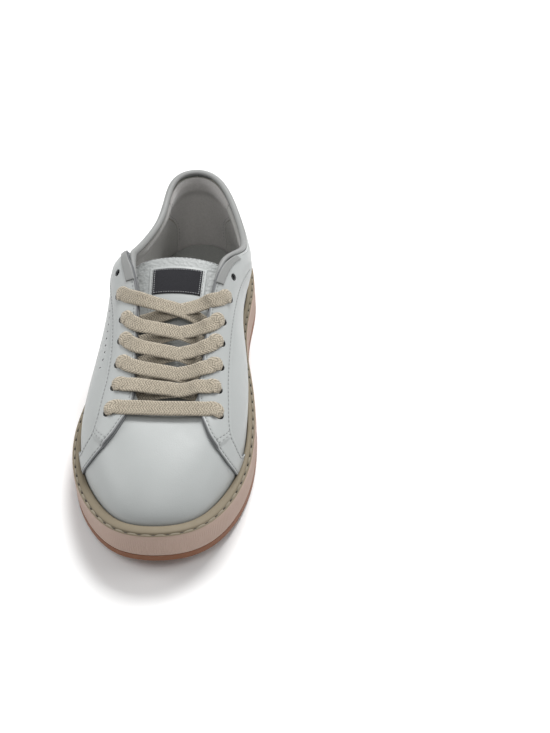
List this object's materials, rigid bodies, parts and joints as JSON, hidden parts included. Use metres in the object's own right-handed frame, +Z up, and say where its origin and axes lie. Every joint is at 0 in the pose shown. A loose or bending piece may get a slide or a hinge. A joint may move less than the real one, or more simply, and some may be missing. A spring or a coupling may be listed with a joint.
{
  "type": "court shoe",
  "caption": "Low lace-up court shoe for the right foot: white leather upper, flat woven lace, padded collar and tongue, stitched rubber cup sole.",
  "frame": {"origin": "on the ground, below the middle of the shoe's bounding box", "axes": "+Z up from the ground, -Y to the toe, +Y to the heel, +X to the inner side of the foot"},
  "size_m": [0.113, 0.302, 0.0955],
  "materials": {
    "gum_rubber": "matte orange-brown gum rubber, finely stippled",
    "cup_rubber": "matte pinkish-beige rubber with a fine upright texture and a smooth tan lip",
    "sole_thread": "twisted waxed thread",
    "foam": "soft open-cell foam",
    "board": "fibre board",
    "footbed_cloth": "brushed grey cloth",
    "white_leather": "smooth, softly shining full-grain leather",
    "grey_leather": "smooth light grey leather",
    "lining_cloth": "warm grey knitted lining",
    "heel_suede": "warm grey brushed lining",
    "label_weave": "dense black woven label",
    "lace_cotton": "flat woven oatmeal cotton",
    "aglet_plastic": "clear rolled plastic tip"
  },
  "bodies": {
    "shoe": {"outsole": "gum_rubber", "cupsole": "cup_rubber", "sidewall_stitching": "sole_thread", "midsole_foam": "foam", "insole_board": "board", "footbed": "footbed_cloth", "vamp": "white_leather", "toe_puff": "board", "vamp_lining": "lining_cloth", "heel_counter": "board", "heel_lining": "heel_suede", "collar_foam": "foam", "heel_tab": "white_leather", "quarter_medial": "white_leather", "facing_medial": "white_leather", "eyelet_stay_medial": "board", "lining_medial": "lining_cloth", "throat_tab_medial": "grey_leather", "quarter_lateral": "white_leather", "facing_lateral": "white_leather", "eyelet_stay_lateral": "board", "lining_lateral": "lining_cloth", "throat_tab_lateral": "grey_leather", "collar_binding": "grey_leather", "lace": "lace_cotton", "aglets": "aglet_plastic"},
    "tongue": {"tongue_outer": "white_leather", "tongue_foam": "foam", "tongue_lining": "lining_cloth", "label_patch": "white_leather", "tongue_label": "label_weave"}
  },
  "joints": [
    {"name": "tongue_fold", "type": "hinge", "parent": "shoe", "child": "tongue", "pos_m": [0.0048, -0.0906, 0.0448], "axis": [-1, 0, 0], "range_deg": [0, 12], "stiffness_Nm_per_rad": 0.3}
  ]
}
